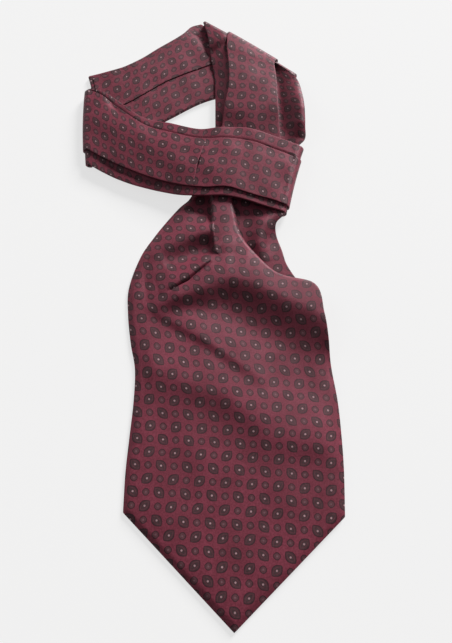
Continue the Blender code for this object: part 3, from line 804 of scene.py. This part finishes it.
def blade_top(x, y, line):
    """Height of the front blade's upper face."""
    point = np.array([0.5 * (line[0, 0] + line[0, 2]), 0.5 * (line[0, 1] + line[0, 3]) - BLADE_POINT_DEPTH])
    left = line[::EDGE_STEP, :2]
    right = line[line[:, 3] < TURNED_FROM][::EDGE_STEP, 2:]
    rim = edge_reach(x, y, np.vstack([left[::-1], line[0, :2], point, line[0, 2:], right]))
    inner = smooth(rim / RIM_STROKES)
    carried = rise(x, CARRIED_X) * rise(y, CARRIED_Y)
    level = np.maximum(carried, LEVEL_SHARE * rise(x, LEVEL_X))
    floor = EDGE_TOP + LAYER_RISE * (level + (1.0 - level) * smooth(rim / RIM_WALL))
    held = carried + (1.0 - carried) * inner
    lift = FULLNESS + HELD_FULLNESS * held + rise(y, GATHER_Y) * inner * GATHER_FULLNESS
    lift = lift + held * stroke_height(x, y, BLADE_STROKES)
    beside = smooth((lookup(PLEAT_EDGE, y) - x) / PLEAT_SIDE)
    lift = lift + held * beside * stroke_height(x, y, LEFT_STROKES)
    lift = lift + smooth(rim / RIM_RIPPLES) * (ripple(x, y, *BROAD_RIPPLE) + ripple(x, y, *FINE_RIPPLE))
    top = floor + 0.5 * (lift + np.sqrt(lift**2 + SOFTENING))
    turned = line[line[:, 3] > TURNED_FROM][::TURNED_STEP, 2:]
    share = np.clip(edge_reach(x, y, turned) / TURNED_EDGE, 0.0, 1.0)
    low = lookup(UNDER_PLEAT, y) + BLADE_WALL + TURNED_GAP
    drop = np.maximum(top - low, 0.0) * rise(y, TURNED_Y)
    return top - drop * (1.0 - np.sqrt(1.0 - (1.0 - share) ** 2))


def build_back_blade():
    step, columns = GRIDS["back blade"]
    x, y, _ = blade_grid(BACK_ROWS, BACK_POINT_DEPTH, even_rows(BACK_ROWS, step), columns)
    grid = np.dstack([x, y, np.full(x.shape, BACK_WALL / 2)])
    up = np.zeros_like(grid) + np.array([0.0, 0.0, 1.0])
    cloth("silk_back_blade", "back_blade", grid, up, BACK_WALL, np.dstack([x, y]))


def build_front_blade():
    step, columns = GRIDS["front blade"]
    at = even_rows(BLADE_ROWS, step, FINE_ROWS_Y)
    x, y, line = blade_grid(BLADE_ROWS, BLADE_POINT_DEPTH, at, columns)
    grid = np.dstack([x, y, blade_top(x, y, line) - BLADE_WALL / 2])
    cloth("silk_front_blade", "front_blade", grid, surface_normals(grid), BLADE_WALL, blade_print(x, y))


def build_side_pleat():
    step, columns = GRIDS["side pleat"]
    line = curve(SIDE_ROWS, even_rows(SIDE_ROWS, step))
    v = np.linspace(0.0, 1.0, columns)
    grid = np.stack([line[:, None, k] * (1 - v) + line[:, None, k + 3] * v for k in range(3)], axis=2)
    grid = add_relief(grid, SIDE_STROKES, SEEDS["side pleat"], SIDE_PLEAT_RELIEF)
    prints = blade_print(grid[..., 0], grid[..., 1])
    cloth("silk_side_pleat", "front_blade_side_pleat", grid, surface_normals(grid), SIDE_WALL, prints)


def across_line(row, v):
    """Three points of a row joined by a parabola."""
    a, m, b = row[..., 0:3], row[..., 3:6], row[..., 6:9]
    v = np.asarray(v)[..., None]
    return a * (2 * v - 1) * (v - 1) + m * 4 * v * (1 - v) + b * v * (2 * v - 1)


def band_points(rows, at, shares):
    """Middle points of a band at fractional rows and at shares across it."""
    lines = np.repeat(curve(rows, at)[:, None, :], len(shares), axis=1)
    return across_line(lines, np.tile(shares, (len(at), 1)))


def even_band(rows, grid_name):
    """Middle points of a band on its own even grid."""
    step, columns = GRIDS[grid_name]
    return band_points(rows, even_rows(rows, step), np.linspace(0.0, 1.0, columns))


def fold_out(fold, inside):
    """Level direction square to a fold line, away from an inside point."""
    square = unit(np.array([fold[7] - fold[1], fold[0] - fold[6]]))
    away = np.array([fold[0] - inside[0], fold[1] - inside[1]])
    return square if square @ away > 0 else -square


def fold_points(fold, out, angles, shares, extra=0.0):
    """Points and directions round a fold, from the layer below (0 degrees) to the layer above (180)."""
    line = across_line(np.array(fold) + np.zeros((len(shares), 1)), shares)
    centre = (line[:, 2] + LOW_MIDDLE) / 2
    radius = (line[:, 2] - LOW_MIDDLE) / 2 + extra
    lines, normals = [], []
    for angle in angles:
        c, s = math.cos(math.radians(angle)), math.sin(math.radians(angle))
        moved = line.copy()
        moved[:, 0] += out[0] * radius * s
        moved[:, 1] += out[1] * radius * s
        moved[:, 2] = centre - radius * c
        lines.append(moved)
        normals.append(np.tile(np.array([out[0] * s, out[1] * s, -c]), (len(shares), 1)))
    return np.stack(lines), np.stack(normals)


def build_side_band():
    grid = even_band(SIDE_BAND, "side")
    grid = add_relief(grid + np.array([0.0, 0.0, SIDE_RISE]), {}, SEEDS["side"], SIDE_RISE)
    cloth("silk_neck_side", "neck_side", grid, surface_normals(grid), STACK_WALL, print_along(grid), 2)

    flap = band_points(SIDE_BAND, np.linspace(*FLAP_ROWS), np.linspace(*FLAP_SHARE))
    flap[..., 2] = STACK_WALL + SIDE_RISE + FLAP_GAP + FLAP_WALL / 2
    flap = add_relief(flap, SIDE_BAND_STROKES, SEEDS["side"], SIDE_RISE)
    cloth("silk_neck_side_flap", "neck_side_flap", flap, surface_normals(flap), FLAP_WALL, print_along(flap))


def build_rear():
    out = fold_out(REAR_FOLD, LOOP_MIDDLE)
    shares = np.linspace(0.0, 1.0, GRIDS["rear"][1])
    turn = fold_points(REAR_FOLD, out, np.linspace(*TURNS["rear"]), shares)
    flat = add_relief(even_band(REAR_BAND, "rear"), REAR_STROKES, SEEDS["rear"])
    stretches = [turn, (flat, surface_normals(flat))]
    join("silk_neck_rear", "neck_rear", stretches, REAR_WALL, 1, "first")

    shares = np.linspace(*REAR_PANEL_SHARE, GRIDS["rear panel"][1])
    turn = fold_points(REAR_FOLD, out, np.linspace(*TURNS["rear panel"]), shares, REAR_RIDE)
    flat = add_relief(even_band(REAR_PANEL, "rear panel"), {}, SEEDS["rear"])
    join("silk_neck_rear_pleat", "neck_rear_pleat", [turn, (flat, surface_normals(flat))], REAR_PANEL_WALL)


def narrowed(at, share, kept):
    """Shares across the front band with its uppermost strip kept in part."""
    limit = curve(FRONT_PANEL_SHARE, at)[..., 0]
    return np.where(share < limit, limit - (limit - share) * kept, share)


def seam_at(share, side, slit):
    """Row of the slanting seam's left (-1) or right (1) edge, with a slit opened at its middle."""
    gap = SEAM_GAP + slit * np.exp(-(((share - SLIT_MIDDLE) / SLIT_SPREAD) ** 2))
    return SEAM_ROW[0] + (SEAM_ROW[1] - SEAM_ROW[0]) * share + side * gap


def half_rows(side, shares, slit):
    """Rows of the front band where its left or right half starts and ends."""
    if side == "left":
        return 0.0 * shares, seam_at(shares, -1.0, slit)
    return seam_at(shares, 1.0, slit), 0.0 * shares + (len(FRONT_BAND) - 1.0)


def half_grid(side, columns, slit=0.0):
    """Row numbers and shares of the points of one half of the front band."""
    shares = np.linspace(0.0, 1.0, columns)
    first, last = half_rows(side, shares, slit)
    t = np.linspace(0.0, 1.0, HALF_ROWS[side])[:, None]
    at = first[None, :] * (1 - t) + last[None, :] * t
    return at, shares[None, :] + np.zeros_like(at)


def front_layer(side, strokes):
    """Points and directions of one half of the front band's wide layer."""
    at, share = half_grid(side, FRONT_COLUMNS)
    share = narrowed(at, share, STRIP_END + (1.0 - STRIP_END) * smooth(at / STRIP_ROWS))
    grid = across_line(curve(FRONT_BAND, at), share)
    limit = curve(FRONT_PANEL_SHARE, at)[..., 0]
    grid[..., 2] += STRIP_LIFT * smooth((limit - STRIP_GAP - share) / STRIP_SIDE)
    grid = add_relief(grid, strokes, SEEDS["front"])
    return grid, surface_normals(grid)


def panel_ride(at):
    """How far the panel lies over the band: close along its upper edge, open along its lower one."""
    share = np.linspace(0.0, 1.0, at.shape[1])[None, :]
    open_left = rise(at, OPEN_FROM) * rise(at, OPEN_TO)
    ride = BAND_WALL / 2 + LAYER_GAP + FRONT_PANEL_WALL / 2 + PANEL_FULLNESS * smooth(share / PANEL_EASE)
    return (ride + (LOWER_OPEN + LEFT_OPEN * open_left) * rise(share, LOWER_SHARE))[..., None]


def front_panel(side):
    """Points and directions of one half of the front band's panel."""
    at, share = half_grid(side, PANEL_COLUMNS, SLIT_GAP)
    limits = curve(FRONT_PANEL_SHARE, at)
    share = limits[..., 0] + (limits[..., 1] - limits[..., 0]) * share
    grid = across_line(curve(FRONT_BAND, at), share)
    grid = add_relief(grid + surface_normals(grid) * panel_ride(at), PANEL_STROKES, SEEDS["front"])
    return grid, surface_normals(grid)


def left_turn(out, angles, shares):
    """Points and directions round the left turn, whose uppermost strip narrows on the way up."""
    rows = []
    for angle in angles:
        kept = STRIP_START + (STRIP_END - STRIP_START) * smooth(angle / STRIP_TURN)
        rows.append(fold_points(LEFT_FOLD, out, [angle], narrowed(0.0 * shares, shares, kept)))
    return tuple(np.concatenate(parts) for parts in zip(*rows))


def build_front():
    left_out = fold_out(LEFT_FOLD, LOOP_MIDDLE)
    right_out = fold_out(RIGHT_FOLD, CROSSING)
    shares = np.linspace(0.0, 1.0, FRONT_COLUMNS)
    angles = np.linspace(*TURNS["front"])

    turn, turn_up = left_turn(left_out, angles, shares)
    lead = (turn[:1] + np.array([LEFT_LEAD, 0.0, 0.0]), turn_up[:1])
    stretches = [lead, (turn, turn_up), front_layer("left", FRONT_STROKES)]
    join("silk_neck_front_left", "neck_front_left", stretches, BAND_WALL, thick_end="first")

    stretches = [front_layer("right", {}), fold_points(RIGHT_FOLD, right_out, angles[::-1], shares)]
    join("silk_neck_front_right", "neck_front_right", stretches, BAND_WALL, thick_end="last")

    angles = np.linspace(*TURNS["front panel"])
    shares = np.linspace(*FRONT_PANEL_SHARE[0], PANEL_COLUMNS)
    stretches = [fold_points(LEFT_FOLD, left_out, angles, shares, FRONT_RIDE), front_panel("left")]
    join("silk_neck_pleat_left", "neck_pleat_left", stretches, FRONT_PANEL_WALL)

    shares = np.linspace(*FRONT_PANEL_SHARE[-1], PANEL_COLUMNS)
    stretches = [front_panel("right"), fold_points(RIGHT_FOLD, right_out, angles[::-1], shares, FRONT_RIDE)]
    join("silk_neck_pleat_right", "neck_pleat_right", stretches, FRONT_PANEL_WALL)


def build_under():
    """Return under the crossing, which starts just inside the right turn."""
    out = fold_out(RIGHT_FOLD, CROSSING)
    first = np.array(RIGHT_FOLD)
    first[[0, 3, 6]] -= out[0] * UNDER_START
    first[[1, 4, 7]] -= out[1] * UNDER_START
    first[[2, 5, 8]] = LOW_MIDDLE
    grid = even_band([tuple(first)] + UNDER_BAND, "under")
    cloth("silk_neck_under", "neck_under", grid, surface_normals(grid), STACK_WALL, print_along(grid), 2)


def link(tree, value, socket):
    """Joins an output, or sets a number or colour, on an input."""
    if isinstance(value, bpy.types.NodeSocket):
        tree.links.new(value, socket)
    else:
        socket.default_value = value


def calc(tree, kind, *values):
    node = tree.nodes.new("ShaderNodeMath")
    node.operation = kind
    for socket, value in zip(node.inputs, values):
        link(tree, value, socket)
    return node.outputs[0]


def ramp(tree, value, low, high, start=0.0, end=1.0):
    """Smooth step from start to end as a value goes from low to high."""
    node = tree.nodes.new("ShaderNodeMapRange")
    node.interpolation_type = "SMOOTHSTEP"
    keys = ("Value", "From Min", "From Max", "To Min", "To Max")
    for key, item in zip(keys, (value, low, high, start, end)):
        link(tree, item, node.inputs[key])
    return node.outputs[0]


def blend(tree, share, first, second):
    node = tree.nodes.new("ShaderNodeMix")
    node.data_type = "RGBA"
    for socket, value in ((node.inputs[0], share), (node.inputs[6], first), (node.inputs[7], second)):
        link(tree, value, socket)
    return node.outputs[2]


def noise(tree, vector, scale, detail):
    node = tree.nodes.new("ShaderNodeTexNoise")
    tree.links.new(vector, node.inputs["Vector"])
    node.inputs["Scale"].default_value = scale
    node.inputs["Detail"].default_value = detail
    return node.outputs[0]


def leaf_shape(tree, x, y, row):
    """Distance from the outline of a leaf: two arcs meeting in points along one diagonal."""
    lean = calc(tree, "MULTIPLY_ADD", calc(tree, "FLOORED_MODULO", row, 2.0), -2.0, 1.0)
    slant_y = calc(tree, "MULTIPLY", y, lean)
    along = calc(tree, "MULTIPLY", calc(tree, "ADD", x, slant_y), DIAGONAL)
    across = calc(tree, "ABSOLUTE", calc(tree, "MULTIPLY", calc(tree, "SUBTRACT", x, slant_y), DIAGONAL))
    bow = calc(tree, "POWER", calc(tree, "DIVIDE", calc(tree, "ABSOLUTE", along), LEAF_LENGTH), LEAF_BOW)
    arc = calc(tree, "MULTIPLY_ADD", bow, -LEAF_WIDTH, LEAF_WIDTH)
    return calc(tree, "MULTIPLY", calc(tree, "SUBTRACT", across, arc), LEAF_SHARE)


def spot_shape(tree, x, y):
    """Distance from the outline of a spot: a square with its corners cut and rounded."""
    x, y = calc(tree, "ABSOLUTE", x), calc(tree, "ABSOLUTE", y)
    square = calc(tree, "MAXIMUM", x, y)
    corner = calc(tree, "MULTIPLY", calc(tree, "ADD", x, y), SPOT_CORNER)
    return calc(tree, "SUBTRACT", calc(tree, "SMOOTH_MAX", square, corner, SPOT_ROUND), SPOT_WIDTH)


def print_colour(tree, u, v, ground):
    """Colour of the print on its ground: leaves and small spots by turns, as on a checkerboard."""
    scale = 1.0 / (PRINT_STEP * MM)
    a = calc(tree, "MULTIPLY", u, scale)
    b = calc(tree, "MULTIPLY", v, scale)
    column = calc(tree, "ROUND", a)
    row = calc(tree, "ROUND", b)
    x = calc(tree, "MULTIPLY", calc(tree, "SUBTRACT", a, column), PRINT_STEP)
    y = calc(tree, "MULTIPLY", calc(tree, "SUBTRACT", b, row), PRINT_STEP)
    small = calc(tree, "FLOORED_MODULO", calc(tree, "ADD", column, row), 2.0)

    leaf = calc(tree, "MULTIPLY", leaf_shape(tree, x, y, row), calc(tree, "SUBTRACT", 1.0, small))
    shape = calc(tree, "ADD", leaf, calc(tree, "MULTIPLY", spot_shape(tree, x, y), small))
    inner_line = calc(tree, "MULTIPLY", ramp(tree, shape, *LINE_OUTER), ramp(tree, shape, *LINE_INNER))
    fill = blend(tree, small, LEAF, SPOT)
    fill = blend(tree, calc(tree, "MULTIPLY", inner_line, LINE_SHARE), fill, GROUND)
    motif = blend(tree, ramp(tree, shape, *BODY_EDGE), LEAF_EDGE, fill)

    reach = calc(tree, "SQRT", calc(tree, "ADD", calc(tree, "MULTIPLY", x, x), calc(tree, "MULTIPLY", y, y)))
    dot_share = calc(tree, "MULTIPLY_ADD", small, DOT_ON_SPOT, 1.0)
    dot = calc(tree, "MULTIPLY", ramp(tree, reach, *DOT_EDGE), dot_share)
    motif = blend(tree, dot, motif, DOT)
    return blend(tree, ramp(tree, shape, *OUTLINE), ground, motif)


def silk_normal(tree, u, v, coords, slub):
    """Relief of the silk: twill lines 0.5 mm apart, slub and fine crumple."""
    twill = calc(tree, "SINE", calc(tree, "MULTIPLY", calc(tree, "ADD", u, v), TWILL_WAVE))
    crumple = noise(tree, coords, *CRUMPLE_NOISE)
    uneven = calc(tree, "MULTIPLY_ADD", slub, SLUB_HEIGHT, crumple)
    bump = tree.nodes.new("ShaderNodeBump")
    bump.inputs["Strength"].default_value = BUMP_STRENGTH
    bump.inputs["Distance"].default_value = BUMP_DISTANCE
    tree.links.new(calc(tree, "MULTIPLY_ADD", twill, TWILL_HEIGHT, uneven), bump.inputs["Height"])
    return bump.outputs[0]


def make_silk():
    """Printed silk twill: leaves and small spots on a burgundy ground."""
    material = bpy.data.materials.new("printed_silk_twill")
    material.use_nodes = True
    tree = material.node_tree
    shader = tree.nodes["Principled BSDF"]
    uv = tree.nodes.new("ShaderNodeUVMap")
    uv.uv_map = "print"
    split = tree.nodes.new("ShaderNodeSeparateXYZ")
    tree.links.new(uv.outputs[0], split.inputs[0])
    u, v = split.outputs[0], split.outputs[1]
    coords = tree.nodes.new("ShaderNodeTexCoord").outputs["Object"]
    cloudy = noise(tree, coords, *CLOUD_NOISE)
    slub = noise(tree, coords, *SLUB_NOISE)
    ground = blend(tree, ramp(tree, cloudy, *CLOUD_RANGE), GROUND, GROUND_DEEP)
    grain = tree.nodes.new("ShaderNodeHueSaturation")
    tree.links.new(print_colour(tree, u, v, ground), grain.inputs["Color"])
    tree.links.new(ramp(tree, slub, *SLUB_VALUE), grain.inputs["Value"])
    tree.links.new(grain.outputs[0], shader.inputs["Base Color"])
    tree.links.new(silk_normal(tree, u, v, coords, slub), shader.inputs["Normal"])
    tree.links.new(ramp(tree, slub, *SLUB_ROUGHNESS), shader.inputs["Roughness"])
    for key, value in SILK_LOOK.items():
        shader.inputs[key].default_value = value
    return material


def make_floor():
    """Plain pale table."""
    material = bpy.data.materials.new("pale_table")
    material.use_nodes = True
    shader = material.node_tree.nodes["Principled BSDF"]
    for key, value in FLOOR_LOOK.items():
        shader.inputs[key].default_value = value
    corners = [(x * FLOOR_HALF, y * FLOOR_HALF, 0.0) for x, y in ((-1, -1), (1, -1), (1, 1), (-1, 1))]
    mesh = bpy.data.meshes.new("table")
    mesh.from_pydata(corners, [], [(0, 1, 2, 3)])
    mesh.materials.append(material)
    floor = bpy.data.objects.new("table", mesh)
    bpy.context.scene.collection.objects.link(floor)


def add_light(name, place, size, power, colour):
    """Square area light that faces the origin."""
    lamp = bpy.data.lights.new(name, "AREA")
    lamp.shape = "SQUARE"
    lamp.size = size
    lamp.energy = power
    lamp.color = colour
    item = bpy.data.objects.new(name, lamp)
    item.location = place
    yaw = math.atan2(-place[1], -place[0])
    drop = math.atan2(place[2], math.hypot(place[0], place[1]))
    item.rotation_euler = (math.pi / 2 - drop, 0.0, yaw - math.pi / 2)
    bpy.context.scene.collection.objects.link(item)


def light_scene():
    for name, (place, size, power, colour) in LIGHTS.items():
        add_light(name, place, size, power, colour)
    world = bpy.data.worlds.new("studio")
    world.use_nodes = True
    background = world.node_tree.nodes["Background"]
    background.inputs[0].default_value = WORLD_COLOUR
    background.inputs[1].default_value = WORLD_STRENGTH
    bpy.context.scene.world = world


def place_camera():
    """Looks down on the tables' zero point, tilted back."""
    tilt = math.radians(CAMERA_TILT)
    aim_x, aim_y = -TABLE_ORIGIN[0] * MM, -TABLE_ORIGIN[1] * MM
    camera = bpy.data.objects.new("camera", bpy.data.cameras.new("camera"))
    camera.data.sensor_width = SENSOR
    camera.data.sensor_fit = "VERTICAL"
    camera.data.sensor_height = SENSOR
    camera.data.lens = SENSOR * LENS_PIXELS / FRAME_PIXELS
    camera.location = (aim_x, aim_y - CAMERA_AWAY * math.sin(tilt), CAMERA_AWAY * math.cos(tilt))
    camera.rotation_euler = (tilt, 0.0, 0.0)
    bpy.context.scene.collection.objects.link(camera)
    bpy.context.scene.camera = camera


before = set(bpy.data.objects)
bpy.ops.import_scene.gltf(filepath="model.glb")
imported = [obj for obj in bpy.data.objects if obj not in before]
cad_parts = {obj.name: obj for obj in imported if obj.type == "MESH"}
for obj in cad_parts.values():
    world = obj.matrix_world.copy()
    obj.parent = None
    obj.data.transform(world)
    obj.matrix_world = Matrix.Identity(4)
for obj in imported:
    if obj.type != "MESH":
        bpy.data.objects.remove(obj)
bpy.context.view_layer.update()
SILK = make_silk()
build_back_blade()
build_front_blade()
build_side_pleat()
build_side_band()
build_rear()
build_front()
build_under()
make_floor()
light_scene()
place_camera()
bpy.context.scene.view_settings.view_transform = "Standard"
